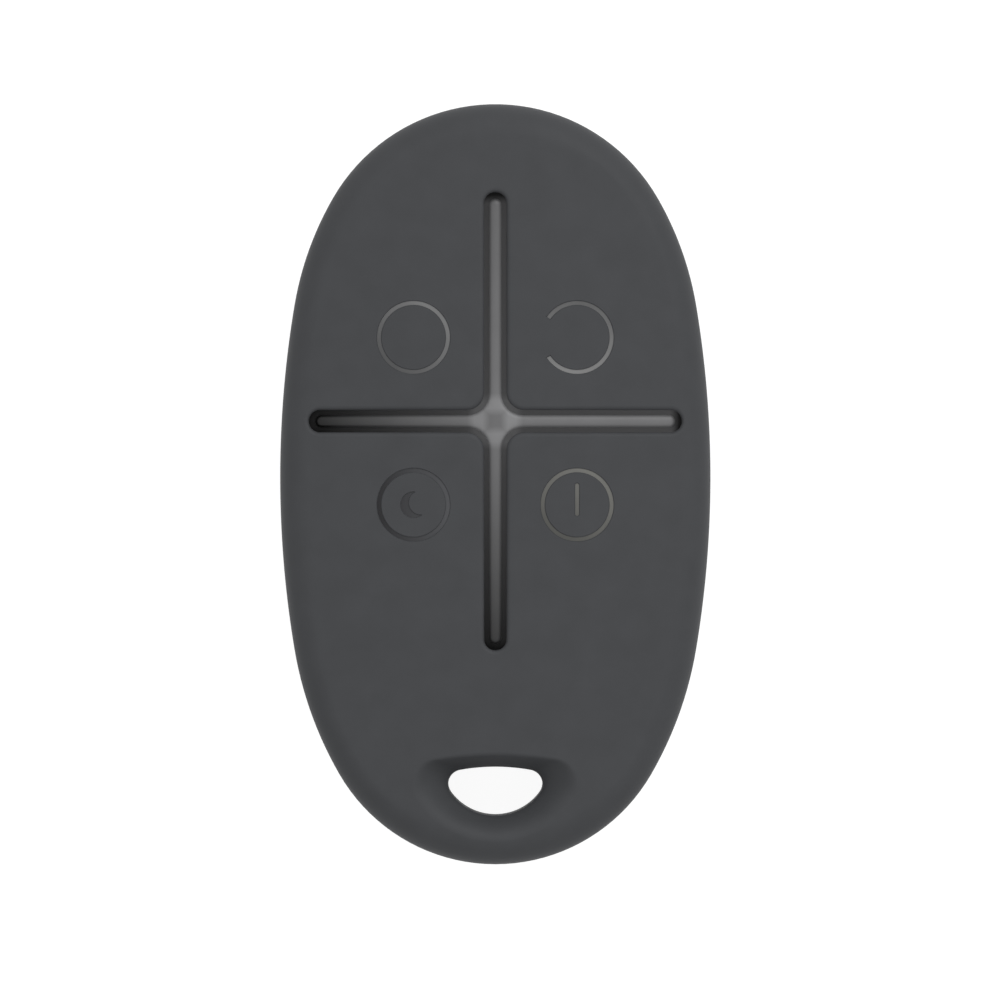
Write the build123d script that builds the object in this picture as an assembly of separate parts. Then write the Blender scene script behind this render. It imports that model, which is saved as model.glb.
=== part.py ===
from build123d import *
from math import asin, cos, degrees, hypot, radians, sin, sqrt, tan
import os

# Alarm key fob with four press areas, a cross-shaped light guide and a coin cell.
# It lies on its back: +Z is out of the front face, +Y towards the end away from the eyelet.
# Lengths are in millimetres and angles in degrees.

# Outline, seen from the front: flank, shoulder and end arcs that run into each other
body_length = 65.0
body_width = 36.8
widest_above_middle = 0.6
flank_radius = 89.0
flank_angle = 9.5
shoulder_angle = 30.0

# Crowned front face, rounded edges, walls and the joint between the shells
crown_radius_across = 120.0
crown_radius_along = 440.0
crown_allowance = 0.1
edge_radius = 3.0
edge_steps = 4
inner_edge_steps = 2
shell_wall = 1.3
parting_height = 4.4
parting_chamfer = 0.15
lip_height = 1.2
lip_inset = 0.65
lip_clearance = 0.06

# Cross-shaped slot in the front face
cross_above_middle = 5.37
slot_side_margin = 2.5
slot_end_margin = 7.6
slot_width = 1.9
slot_corner_radius = 1.5

# Press areas, each hinged on a thin web that runs in an arc from slot end to slot end
seam_bulge = 3.5
web_thickness = 0.45
web_half_width = 0.7
stiffener_height = 0.5
stiffener_width = 0.7
stiffener_end_gap = 1.2
press_gap = 0.1
post_length = 0.69
post_radius = 0.85

# Eyelet: a D-shaped hole with a scoop round it on each face
eyelet_margin = 7.73
eyelet_half_width = 4.53
eyelet_upper_bow = 0.62
eyelet_lower_bow = 3.53
eyelet_corner_radius = 1.23
eyelet_waist = 5.0
eyelet_wall = 1.2
scoop_half_width = 7.33
scoop_rise = 0.89
scoop_upper_bow = 0.77
scoop_lower_bow = 5.93
scoop_corner_radius = 1.77

# Coin cell, its cradle and its two contacts
cell_above_middle = 4.0
cell_radius = 10.0
cell_thickness = 3.2
cell_can_wall = 0.25
cell_cap_rise = 0.25
cell_gasket_width = 0.55
cell_fit_gap = 0.03
clip_thickness = 0.25
clip_width = 5.0
clip_side_gap = 0.15
clip_foot_length = 1.6
clip_bend_radius = 0.4
contact_thickness = 0.25
contact_radius = 3.0
contact_tail_length = 5.5
contact_tail_width = 1.6
cradle_gap = 0.3
cradle_wall = 0.8
cradle_height = 2.0
cradle_notch_gap = 0.6

# Circuit board
board_thickness = 0.8
board_inset = 2.1
board_corner_radius = 1.5
board_end_gap = 0.6

# Tactile switches, one behind each press area
switch_across = 6.97
switch_along = 7.13
switch_size = 4.5
switch_corner_chamfer = 0.4
switch_base_height = 1.2
switch_pocket_radius = 1.6
switch_pocket_depth = 0.8
switch_frame_thickness = 0.2
switch_lead_length = 0.6
switch_lead_width = 0.5
switch_lead_thickness = 0.2
switch_lead_spacing = 3.0
stem_flange_radius = 1.3
stem_flange_thickness = 0.25
stem_radius = 0.9
stem_side_clearance = 0.08
stem_rise = 0.35
dome_length = 2.9
dome_width = 1.1
dome_flat_length = 0.8
dome_shoulder_length = 2.2
dome_shoulder_share = 0.7
dome_thickness = 0.08
dome_gap = 0.02

# Light guide: a rib in the slot on a flange under the front shell
guide_width = 1.05
guide_end_gap = 0.55
guide_corner_radius = 1.8
guide_recess = 0.45
guide_foot_height = 0.25
guide_flange_width = 2.6
guide_flange_thickness = 0.8
guide_foot_size = 1.6
guide_foot_from_end = 1.6
guide_peg_radius = 0.45
guide_peg_clearance = 0.05

# Lamps under the middle of the light guide
led_width = 0.8
led_length = 1.6
led_height = 0.6
led_base_height = 0.25
led_lens_inset = 0.12
led_spacing = 1.2
led_pocket_gap = 0.12

# Other parts on the board
control_chip_size = 5.0
control_chip_height = 0.9
radio_chip_size = 4.0
radio_chip_height = 0.85
chip_gap = 1.6
chip_edge_chamfer = 0.12
chip_mark_radius = 0.3
chip_mark_inset = 0.8
chip_mark_depth = 0.08
chip_lead_count = 6
chip_lead_pitch = 0.75
chip_lead_length = 0.5
chip_lead_width = 0.3
chip_lead_thickness = 0.25
crystal_length = 3.2
crystal_width = 2.5
crystal_base_height = 0.35
crystal_lid_height = 0.35
crystal_lid_inset = 0.2
crystal_gap = 1.0
passive_length = 1.0
passive_width = 0.5
passive_height = 0.35
passive_pitch = 1.3
passive_count = 5
passive_gap = 1.0
antenna_bar_count = 7
antenna_bar_pitch = 1.2
antenna_bar_length = 4.6
antenna_line = 0.45
antenna_thickness = 0.1
antenna_gap = 2.0

# Screws through the back shell into the front shell
top_screw_margin = 4.9
lower_screw_margin = 13.0
screw_radius = 0.8
screw_length = 5.0
screw_head_radius = 1.5
screw_head_height = 1.0
screw_head_sunk = 0.4
screw_hole_clearance = 0.1
screw_thread_clearance = 0.04
screw_head_clearance = 0.2
screw_end_gap = 0.5
back_boss_radius = 2.5
front_boss_radius = 1.9

# Ribs of both shells that hold the board between them
rib_width = 1.2
rib_reach = 2.6
rib_above_cross = 8.6
rib_below_cross = 14.2

overrun = 1.0

# Places in the plan that several pieces share
half_length = body_length / 2
half_width = body_width / 2
cross_y = cross_above_middle
slot_half_across = half_width - slot_side_margin
slot_half_along = half_length - slot_end_margin - cross_y
guide_half_across = slot_half_across - guide_end_gap
guide_half_along = slot_half_along - guide_end_gap
cell_y = cell_above_middle
eyelet_y = eyelet_margin - half_length
lower_screw_y = lower_screw_margin - half_length
screw_places = [(0, half_length - top_screw_margin), (0, lower_screw_y)]
quadrants = {"arm": (-1, 1), "disarm": (1, 1), "night": (-1, -1), "panic": (1, -1)}
chip_y = cross_y - switch_along - (switch_size + control_chip_size) / 2 - chip_gap


def crown_drop(x, y):
    """How far the crowned face lies below its highest point at a place in the plan."""
    across = crown_radius_across - sqrt(crown_radius_across**2 - x**2)
    along = crown_radius_along - sqrt(crown_radius_along**2 - y**2)
    return across + along


# Levels, worked out from the back of the body up to the front
cell_floor = shell_wall + clip_thickness
cell_top = cell_floor + cell_thickness
board_bottom = cell_top + contact_thickness
board_top = board_bottom + board_thickness
base_top = board_top + switch_base_height
frame_top = base_top + switch_frame_thickness
stem_top = frame_top + stem_rise
post_bottom = stem_top + press_gap
post_drop = crown_drop(switch_across, cross_y + switch_along)
body_thickness = post_bottom + post_length + shell_wall + post_drop
flange_bottom = board_top + guide_foot_height
flange_top = flange_bottom + guide_flange_thickness
screw_seat = screw_head_sunk + screw_head_height


def outline(inset):
    """The body's outline, drawn in by inset all round, as a face on the XY plane."""
    flank = flank_radius - inset
    flank_x = half_width - flank_radius
    cos_1, sin_1 = cos(radians(flank_angle)), sin(radians(flank_angle))
    cos_2, sin_2 = cos(radians(shoulder_angle)), sin(radians(shoulder_angle))
    turn = shoulder_angle - flank_angle
    arcs = [
        CenterArc((flank_x, widest_above_middle), flank, -flank_angle, 2 * flank_angle),
        CenterArc((-flank_x, widest_above_middle), flank, 180 - flank_angle, 2 * flank_angle),
    ]
    for end in (1, -1):
        across = half_width - inset - flank * (1 - cos_1)
        along = half_length - inset - end * widest_above_middle - flank * sin_1
        spread = (cos_1 - cos_2) * (1 - sin_2) - cos_2 * (sin_2 - sin_1)
        shoulder = (across * (1 - sin_2) - cos_2 * along) / spread
        cap = ((cos_1 - cos_2) * along - (sin_2 - sin_1) * across) / spread
        shoulder_x = flank_x + (flank - shoulder) * cos_1
        shoulder_y = widest_above_middle + end * (flank - shoulder) * sin_1
        cap_y = shoulder_y + end * (shoulder - cap) * sin_2
        for side, start in ((1, flank_angle), (-1, 180 - flank_angle)):
            centre = (side * shoulder_x, shoulder_y)
            arcs.append(CenterArc(centre, shoulder, end * start, end * side * turn))
        sweep = end * (180 - 2 * shoulder_angle)
        arcs.append(CenterArc((0, cap_y), cap, end * shoulder_angle, sweep))
    return make_face(arcs)


def prism(face, bottom, top):
    """A flat face pulled up from one level to another."""
    return extrude(Pos(0, 0, bottom) * face, amount=top - bottom)


def under_crown(depth):
    """All that lies deeper than depth under the crowned front face."""
    across = crown_radius_across - depth
    reach = half_width + overrun
    top = body_thickness - depth
    edge = top - across + sqrt(across**2 - reach**2)
    section = make_face(
        [
            ThreePointArc((-reach, 0, edge), (0, 0, top), (reach, 0, edge)),
            Line((reach, 0, edge), (reach, 0, -top)),
            Line((reach, 0, -top), (-reach, 0, -top)),
            Line((-reach, 0, -top), (-reach, 0, edge)),
        ]
    )
    spin = Axis((0, 0, body_thickness - crown_radius_along), (1, 0, 0))
    swing = degrees(asin((half_length + overrun) / (crown_radius_along - 2 * body_thickness)))
    return revolve(section.rotate(spin, -swing), axis=spin, revolution_arc=2 * swing)


def edge_profile(depth, steps, last_angle):
    """Insets and rises of the rounded edge, from the side wall inwards, about its centre."""
    radius = edge_radius - depth
    profile = []
    for step in range(steps + 1):
        angle = radians(last_angle * step / steps)
        profile.append((edge_radius - radius * cos(angle), radius * sin(angle)))
    return profile


def stack(sections):
    """A solid through the body's outline at several insets and levels."""
    return loft([Pos(0, 0, level) * outline(inset) for inset, level in sections], ruled=True)


def front_form(depth, bottom, steps):
    """The front half of the body, drawn in by depth on every side, from a level upwards."""
    middle_radius = crown_radius_across - edge_radius
    lean = asin((half_width - edge_radius) / middle_radius)
    middle_level = body_thickness - crown_radius_across + middle_radius * cos(lean)
    sections = [(depth, bottom)]
    for inset, rise in edge_profile(depth, steps, 90 - degrees(lean)):
        sections.append((inset, middle_level + rise))
    rim_inset, rim_level = sections[-1]
    above = body_thickness - depth + crown_allowance
    sections.append((rim_inset + (above - rim_level) / tan(lean), above))
    return stack(sections) & under_crown(depth)


def back_form(depth, top, steps):
    """The back half of the body, drawn in by depth on every side, up to a level."""
    sections = [(depth, top)]
    for inset, rise in edge_profile(depth, steps, 90):
        sections.append((inset, edge_radius - rise))
    return stack(sections)


def cross(half_across, half_along, width, corner_radius):
    """A cross with round ends and filleted inner corners, as a face on the XY plane."""
    arms = SlotOverall(2 * half_across, width) + Rot(0, 0, 90) * SlotOverall(2 * half_along, width)
    corners = arms.vertices().filter_by(lambda v: hypot(v.X, v.Y) < width)
    return Pos(0, cross_y) * fillet(corners, corner_radius)


def lens(half_chord, chord_y, upper_bow, lower_bow, corner_radius):
    """A face between two arcs over one chord, with rounded corners."""
    left, right = (-half_chord, chord_y), (half_chord, chord_y)
    upper = ThreePointArc(left, (0, chord_y + upper_bow), right)
    lower = ThreePointArc(right, (0, chord_y - lower_bow), left)
    face = make_face([upper, lower])
    return fillet(face.vertices(), corner_radius)


def eyelet_hole():
    """The D-shaped hole that a key ring passes through."""
    return lens(
        eyelet_half_width, eyelet_y, eyelet_upper_bow, eyelet_lower_bow, eyelet_corner_radius
    )


def scoop_mouth(growth):
    """The edge of the scoop round the hole, grown on every side, as a face on the XY plane."""
    return lens(
        scoop_half_width + growth,
        eyelet_y + scoop_rise,
        scoop_upper_bow + growth,
        scoop_lower_bow + growth,
        scoop_corner_radius + growth,
    )


def eyelet_funnel(surface, waist, end):
    """What is cut from a face of the body for the eyelet: a collar, the scoop and the hole."""
    mouth = scoop_mouth(0)
    hole = eyelet_hole()
    slope = loft([Pos(0, 0, surface) * mouth, Pos(0, 0, waist) * hole], ruled=True)
    return slope + prism(hole, waist, parting_height) + prism(mouth, surface, end)


def eyelet_block(bottom, top):
    """The solid plastic that the eyelet is cut through."""
    return prism(scoop_mouth(eyelet_wall), bottom, top)


def seam_points(side, end):
    """The two ends of a press area's seam, in the slot, and its outermost point."""
    slot_end = slot_width / 2
    tip_along = (0, cross_y + end * (slot_half_along - slot_end))
    tip_across = (side * (slot_half_across - slot_end), cross_y)
    chord_x, chord_y = tip_across[0] - tip_along[0], tip_across[1] - tip_along[1]
    chord = hypot(chord_x, chord_y)
    away_x, away_y = side * abs(chord_y) / chord, end * abs(chord_x) / chord
    outermost = (
        (tip_across[0] + tip_along[0]) / 2 + seam_bulge * away_x,
        (tip_across[1] + tip_along[1]) / 2 + seam_bulge * away_y,
    )
    return tip_along, outermost, tip_across


def press_area(side, end):
    """The plan of a press area: from the middle of the slot out to its seam."""
    tip_along, outermost, tip_across = seam_points(side, end)
    return make_face(
        [
            ThreePointArc(tip_along, outermost, tip_across),
            Line(tip_across, (0, cross_y)),
            Line((0, cross_y), tip_along),
        ]
    )


def hinge_grooves():
    """What is cut away under the seams so that only thin webs are left."""
    deep = under_crown(web_thickness)
    grooves = []
    for side, end in quadrants.values():
        band = trace(ThreePointArc(*seam_points(side, end)), 2 * web_half_width)
        grooves.append(prism(band, post_bottom, body_thickness) & deep)
    return grooves


def crowned_shell():
    """The front shell with its slot, scoop and hinge grooves, before it is divided."""
    slot = cross(slot_half_across, slot_half_along, slot_width, slot_corner_radius)
    shell = front_body - prism(slot, parting_height - overrun, body_thickness + overrun)
    joint_rim = shell.faces().sort_by(Axis.Z)[0].outer_wire().edges()
    shell = chamfer(joint_rim, parting_chamfer)
    shell -= front_form(shell_wall, parting_height - overrun, inner_edge_steps)
    shell -= prism(outline(lip_inset), parting_height - overrun, parting_height + lip_height)
    surface = body_thickness - crown_drop(0, eyelet_y)
    waist = parting_height + eyelet_waist / 2
    end = body_thickness + overrun
    shell += eyelet_block(parting_height, body_thickness) & front_core
    shell -= eyelet_funnel(surface, waist, end)
    shell -= hinge_grooves()
    return shell


def wall_ribs(gap):
    """The plan of the ribs that reach from the side walls under or over the board's edge."""
    band = outline(shell_wall + gap) - outline(shell_wall + rib_reach)
    ribs = []
    for rib_y in (cross_y + rib_above_cross, cross_y - rib_below_cross):
        ribs.append(band & Pos(0, rib_y) * Rectangle(body_width, rib_width))
    return ribs


def front_cover(shell):
    """What is left of the front shell round the press areas, with bosses and ribs inside."""
    for side, end in quadrants.values():
        shell -= prism(press_area(side, end), parting_height, body_thickness + overrun)
    hole_top = screw_seat + screw_length + screw_end_gap
    for x, y in screw_places:
        place = Pos(x, y)
        shell += prism(place * Circle(front_boss_radius), parting_height, body_thickness) & front_core
        hole = place * Circle(screw_radius + screw_thread_clearance)
        shell -= prism(hole, parting_height - overrun, hole_top)
    for rib in wall_ribs(-shell_wall / 2):
        shell += prism(rib, board_top, body_thickness) & front_core
    groove = outline(lip_inset) - outline(shell_wall + lip_clearance)
    return shell - prism(groove, parting_height, parting_height + lip_height + lip_clearance)


def press_button(shell, side, end):
    """One press area of the front shell, with its post and stiffening ribs underneath."""
    area = press_area(side, end)
    button = shell & prism(area, parting_height, body_thickness + overrun)
    middle = Pos(side * switch_across, cross_y + end * switch_along)
    wall_middle = under_crown(shell_wall / 2)
    button += prism(middle * Circle(post_radius), post_bottom, body_thickness) & wall_middle
    reach = 2 * (switch_across - slot_width / 2 - stiffener_end_gap)
    ribs = Rectangle(reach, stiffener_width) + Rectangle(stiffener_width, reach)
    ribs_bottom = post_bottom + post_length - stiffener_height
    return button + (prism(middle * ribs, ribs_bottom, body_thickness) & wall_middle)


def back_cover():
    """The back shell: floor, walls, lip, screw bosses, cell cradle, ribs and half the eyelet."""
    joint_rim = back_body.faces().sort_by(Axis.Z)[-1].edges()
    cover = chamfer(joint_rim, parting_chamfer)
    cover -= back_form(shell_wall, parting_height + overrun, inner_edge_steps)
    lip = outline(lip_inset + lip_clearance) - outline(shell_wall)
    cover += prism(lip, parting_height, parting_height + lip_height)
    waist = parting_height - eyelet_waist / 2
    cover += eyelet_block(0, parting_height) & back_core
    cover -= eyelet_funnel(0, waist, -overrun)
    inner = cell_radius + cradle_gap
    ring = Circle(inner + cradle_wall) - Circle(inner)
    ring -= Rectangle(body_width, clip_width + 2 * cradle_notch_gap)
    cover += prism(Pos(0, cell_y) * ring, shell_wall, shell_wall + cradle_height)
    for rib in wall_ribs(lip_clearance):
        cover += prism(rib, shell_wall, board_bottom)
    for x, y in screw_places:
        place = Pos(x, y)
        cover += prism(place * Circle(back_boss_radius), 0, parting_height) & back_core
        cover -= prism(place * Circle(screw_radius + screw_hole_clearance), 0, parting_height)
        cover -= prism(place * Circle(screw_head_radius + screw_head_clearance), -overrun, screw_seat)
    return cover


def guide_foot_places():
    """The middle of each foot of the light guide, under the ends of its four arms."""
    across = guide_half_across - guide_foot_from_end
    along = guide_half_along - guide_foot_from_end
    return [(0, cross_y + along), (0, cross_y - along), (across, cross_y), (-across, cross_y)]


def light_guide():
    """The clear rib that fills the slot, on a flange with feet, pegs and a lamp pocket."""
    rib_plan = cross(guide_half_across, guide_half_along, guide_width, guide_corner_radius)
    rib = prism(rib_plan, flange_bottom, body_thickness) & under_crown(guide_recess)
    side = (guide_flange_width - guide_width) / 2
    flange = cross(
        guide_half_across + side,
        guide_half_along + side,
        guide_flange_width,
        guide_corner_radius - side,
    )
    guide = rib + prism(flange, flange_bottom, flange_top)
    for x, y in guide_foot_places():
        foot = Pos(x, y) * Rectangle(guide_foot_size, guide_foot_size)
        guide += prism(foot, board_top, flange_bottom)
    for x, y in guide_foot_places()[:2]:
        guide += prism(Pos(x, y) * Circle(guide_peg_radius), board_bottom, board_top)
    pocket = Rectangle(
        led_spacing + led_width + 2 * led_pocket_gap,
        led_length + 2 * led_pocket_gap,
    )
    return guide - prism(Pos(0, cross_y) * pocket, board_top, board_top + led_height + led_pocket_gap)


def circuit_board():
    """The board, cut off above the lower screw and notched round the top screw."""
    low_end = lower_screw_y + back_boss_radius + board_end_gap
    plan = outline(board_inset) & Pos(0, low_end + half_length) * Rectangle(body_width, body_length)
    corners = plan.vertices().filter_by(lambda v: v.Y < low_end + board_corner_radius)
    plan = fillet(corners, board_corner_radius)
    notch_radius = back_boss_radius + board_end_gap
    top_x, top_y = screw_places[0]
    plan -= Pos(top_x, top_y) * Circle(notch_radius)
    plan -= Pos(top_x, top_y + notch_radius) * Rectangle(2 * notch_radius, 2 * notch_radius)
    for x, y in guide_foot_places()[:2]:
        plan -= Pos(x, y) * Circle(guide_peg_radius + guide_peg_clearance)
    return prism(plan, board_bottom, board_top)


def switch_base():
    """A switch's moulded base with its round pocket and four leads, at the origin."""
    body = Rectangle(switch_size, switch_size)
    body = prism(chamfer(body.vertices(), switch_corner_chamfer), board_top, base_top)
    base = body - prism(Circle(switch_pocket_radius), base_top - switch_pocket_depth, base_top)
    lead = Rectangle(switch_size + 2 * switch_lead_length, switch_lead_width)
    for y in (-switch_lead_spacing / 2, switch_lead_spacing / 2):
        leads = prism(Pos(0, y) * lead, board_top, board_top + switch_lead_thickness)
        base += leads
    return base


def switch_frame():
    """The thin metal plate on a switch's base, with the hole for the stem."""
    plate = Rectangle(switch_size, switch_size)
    plate = chamfer(plate.vertices(), switch_corner_chamfer)
    plate -= Circle(stem_radius + stem_side_clearance)
    return prism(plate, base_top, frame_top)


def switch_stem():
    """The stem that a post presses, with a flange that keeps it under the plate."""
    flange = prism(Circle(stem_flange_radius), base_top - stem_flange_thickness, base_top)
    return flange + prism(Circle(stem_radius), base_top, stem_top)


def switch_dome():
    """The bowed snap spring between the pocket's floor and the stem's flange."""
    floor = base_top - switch_pocket_depth
    top = base_top - stem_flange_thickness - dome_gap
    shoulder = floor + dome_shoulder_share * (top - floor)
    profile = [
        (dome_length / 2, floor),
        (dome_shoulder_length / 2, shoulder),
        (dome_flat_length / 2, top),
    ]
    bow = [(x, 0, z) for x, z in profile] + [(-x, 0, z) for x, z in reversed(profile)]
    under = [(x, 0, max(z - dome_thickness, floor)) for x, z in profile[1:]]
    under.insert(0, (dome_length / 2 - dome_thickness, 0, floor))
    under = [(-x, y, z) for x, y, z in under] + list(reversed(under))
    side = make_face(Polyline(*bow, *under, close=True))
    return extrude(side, amount=dome_width / 2, both=True)


def cell_can():
    """The coin cell's can, the wide pole, which faces the back of the body."""
    rim = cell_top - cell_cap_rise
    can = prism(Circle(cell_radius), cell_floor, rim)
    can -= prism(Circle(cell_radius - cell_can_wall), cell_floor + cell_can_wall, rim)
    return Pos(0, cell_y) * can


def cell_gasket():
    """The ring that keeps the cap apart from the can."""
    outer = cell_radius - cell_can_wall - cell_fit_gap
    ring = Circle(outer) - Circle(outer - cell_gasket_width)
    return Pos(0, cell_y) * prism(ring, cell_floor + cell_can_wall, cell_top - cell_cap_rise)


def cell_cap():
    """The coin cell's cap with what it holds, the narrow pole, which faces the board."""
    radius = cell_radius - cell_can_wall - cell_gasket_width - 2 * cell_fit_gap
    return Pos(0, cell_y) * prism(Circle(radius), cell_floor + cell_can_wall, cell_top)


def cell_clip():
    """The strip under the cell that rises beside it on both sides to feet under the board."""
    half = clip_thickness / 2
    leg = cell_radius + clip_side_gap + half
    foot = leg + clip_foot_length
    low, high = shell_wall + half, board_bottom - half
    path = FilletPolyline(
        (-foot, high),
        (-leg, high),
        (-leg, low),
        (leg, low),
        (leg, high),
        (foot, high),
        radius=clip_bend_radius,
    )
    strip = extrude(Rot(90, 0, 0) * trace(path, clip_thickness), amount=clip_width / 2, both=True)
    return Pos(0, cell_y) * strip


def cap_contact():
    """The plate between the cell's cap and the board, with a tail."""
    plate = Circle(contact_radius)
    plate += Pos(0, contact_tail_length / 2) * Rectangle(contact_tail_width, contact_tail_length)
    return prism(Pos(0, cell_y) * plate, cell_top, board_bottom)


def led(side):
    """A lamp in two steps, base and lens, beside the middle of the cross."""
    base = Rectangle(led_width, led_length)
    lens_plan = Rectangle(led_width - 2 * led_lens_inset, led_length - 2 * led_lens_inset)
    lamp = prism(base, board_top, board_top + led_base_height)
    lamp += prism(lens_plan, board_top + led_base_height, board_top + led_height)
    return Pos(side * led_spacing / 2, cross_y) * lamp


def chip(size, height):
    """A square package with chamfered upper edges and a round mark in one corner."""
    body = prism(Rectangle(size, size), board_top, board_top + height)
    body = chamfer(body.faces().sort_by(Axis.Z)[-1].edges(), chip_edge_chamfer)
    corner = size / 2 - chip_mark_inset
    mark = Pos(-corner, corner) * Circle(chip_mark_radius)
    return body - prism(mark, board_top + height - chip_mark_depth, board_top + height)


def control_chip():
    """The larger chip, with a row of leads along each of two sides."""
    body = chip(control_chip_size, control_chip_height)
    lead = Rectangle(control_chip_size + 2 * chip_lead_length, chip_lead_width)
    for row in range(chip_lead_count):
        y = (row - (chip_lead_count - 1) / 2) * chip_lead_pitch
        body += prism(Pos(0, y) * lead, board_top, board_top + chip_lead_thickness)
    return Pos(-switch_across, chip_y) * body


def radio_chip():
    """The smaller chip, without leads."""
    return Pos(switch_across, chip_y) * chip(radio_chip_size, radio_chip_height)


def crystal():
    """The frequency crystal: a ceramic base with a narrower metal lid."""
    y = chip_y - (radio_chip_size + crystal_width) / 2 - crystal_gap
    base_level = board_top + crystal_base_height
    base = prism(Rectangle(crystal_length, crystal_width), board_top, base_level)
    lid_plan = Rectangle(
        crystal_length - 2 * crystal_lid_inset,
        crystal_width - 2 * crystal_lid_inset,
    )
    lid = prism(lid_plan, base_level, base_level + crystal_lid_height)
    return Pos(switch_across, y) * (base + lid)


def passives():
    """A row of small resistors and capacitors below the larger chip."""
    y = chip_y - (control_chip_size + passive_length) / 2 - passive_gap
    row = []
    for count in range(passive_count):
        x = (count - (passive_count - 1) / 2) * passive_pitch - switch_across
        block = Pos(x, y) * Rectangle(passive_width, passive_length)
        row.append(prism(block, board_top, board_top + passive_height))
    return Compound(children=row)


def antenna():
    """A trace that winds to and fro above one switch: bars joined at alternate ends."""
    y = cross_y + switch_along + (switch_size + antenna_bar_length) / 2 + antenna_gap
    half_bar = (antenna_bar_length - antenna_line) / 2
    start = (guide_flange_width + antenna_line) / 2 + antenna_gap
    plan = Sketch()
    for bar in range(antenna_bar_count):
        x = start + bar * antenna_bar_pitch
        plan += Pos(x, y) * Rectangle(antenna_line, antenna_bar_length)
    for link in range(antenna_bar_count - 1):
        x = start + (link + 1 / 2) * antenna_bar_pitch
        link_y = y + half_bar if link % 2 else y - half_bar
        plan += Pos(x, link_y) * Rectangle(antenna_bar_pitch, antenna_line)
    return prism(plan, board_top, board_top + antenna_thickness)


def case_screw():
    """A screw with a flat head towards the back, at the origin."""
    head = prism(Circle(screw_head_radius), screw_head_sunk, screw_seat)
    return head + prism(Circle(screw_radius), screw_seat, screw_seat + screw_length)


# Both halves of the body, solid, then their cores, which end in the middle of the walls
front_body = front_form(0, parting_height, edge_steps)
back_body = back_form(0, parting_height, edge_steps)
front_core = front_form(shell_wall / 2, parting_height, inner_edge_steps)
back_core = back_form(shell_wall / 2, parting_height, inner_edge_steps)
whole_shell = crowned_shell()

nodes = {
    "front_cover": front_cover(whole_shell),
    "back_cover": back_cover(),
    "light_guide": light_guide(),
    "circuit_board": circuit_board(),
    "battery_can": cell_can(),
    "battery_gasket": cell_gasket(),
    "battery_cap": cell_cap(),
    "battery_clip": cell_clip(),
    "negative_contact": cap_contact(),
    "led_green": led(-1),
    "led_red": led(1),
    "control_chip": control_chip(),
    "radio_chip": radio_chip(),
    "crystal": crystal(),
    "passives": passives(),
    "antenna": antenna(),
    "case_screws": Compound(children=[Pos(x, y) * case_screw() for x, y in screw_places]),
}
for name, (side, end) in quadrants.items():
    place = Pos(side * switch_across, cross_y + end * switch_along)
    nodes[f"{name}_button"] = press_button(whole_shell, side, end)
    nodes[f"switch_base_{name}"] = place * switch_base()
    nodes[f"switch_frame_{name}"] = place * switch_frame()
    nodes[f"switch_stem_{name}"] = place * switch_stem()
    nodes[f"switch_dome_{name}"] = place * switch_dome()

os.makedirs("parts", exist_ok=True)
for name, shape in nodes.items():
    export_step(shape, f"parts/{name}.step")
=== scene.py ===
import bmesh
import bpy
import math
import numpy as np
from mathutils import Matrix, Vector
from mathutils.geometry import delaunay_2d_cdt


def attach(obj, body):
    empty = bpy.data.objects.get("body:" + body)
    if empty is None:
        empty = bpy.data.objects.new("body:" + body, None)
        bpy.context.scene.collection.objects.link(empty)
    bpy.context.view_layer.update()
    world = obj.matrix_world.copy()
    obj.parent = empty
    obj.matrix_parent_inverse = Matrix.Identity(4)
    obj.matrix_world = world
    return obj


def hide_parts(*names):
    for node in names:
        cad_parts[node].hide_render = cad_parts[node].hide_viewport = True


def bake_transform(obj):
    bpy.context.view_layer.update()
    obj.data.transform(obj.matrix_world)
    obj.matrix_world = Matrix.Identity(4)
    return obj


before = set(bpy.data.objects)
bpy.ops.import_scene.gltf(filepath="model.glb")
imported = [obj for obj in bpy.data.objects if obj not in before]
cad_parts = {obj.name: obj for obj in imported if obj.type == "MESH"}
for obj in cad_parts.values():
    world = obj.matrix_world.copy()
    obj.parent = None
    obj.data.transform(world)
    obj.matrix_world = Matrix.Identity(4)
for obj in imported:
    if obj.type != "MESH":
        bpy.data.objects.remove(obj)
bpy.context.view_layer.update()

# Every size in the shapes is in millimetres, and the meshes are scaled to metres as they are made.
MM = 0.001

# The body, as the frame has it
body_length = 65.0
body_width = 36.8
body_thickness = 10.02
widest_above_middle = 0.6
flank_radius = 89.0
flank_angle = 9.5
shoulder_angle = 30.0
crown_radius_across = 120.0
crown_radius_along = 440.0
edge_radius = 3.0
shell_wall = 1.3
parting_height = 4.4
parting_chamfer = 0.15
lip_inset = 0.65
lip_clearance = 0.06
lip_height = 1.2
root_depth = shell_wall * 0.8
half_length = body_length / 2
half_width = body_width / 2

# The cross-shaped slot and the seams of the press areas
cross_y = 5.37
slot_half_across = 15.9
slot_half_along = 19.53
slot_half_width = 0.95
slot_fillet = 1.5
slot_rounding = 0.4
seam_bulge = 3.5
web_thickness = 0.45
web_half_width = 0.7
web_slope = 0.2
web_offsets = (-web_half_width - web_slope, -web_half_width, 0, web_half_width, web_half_width + web_slope)
bend_width = 2.65
arm_across = slot_half_across - slot_half_width
arm_along = slot_half_along - slot_half_width
quadrants = {"arm": (-1, 1), "disarm": (1, 1), "night": (-1, -1), "panic": (1, -1)}

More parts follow.
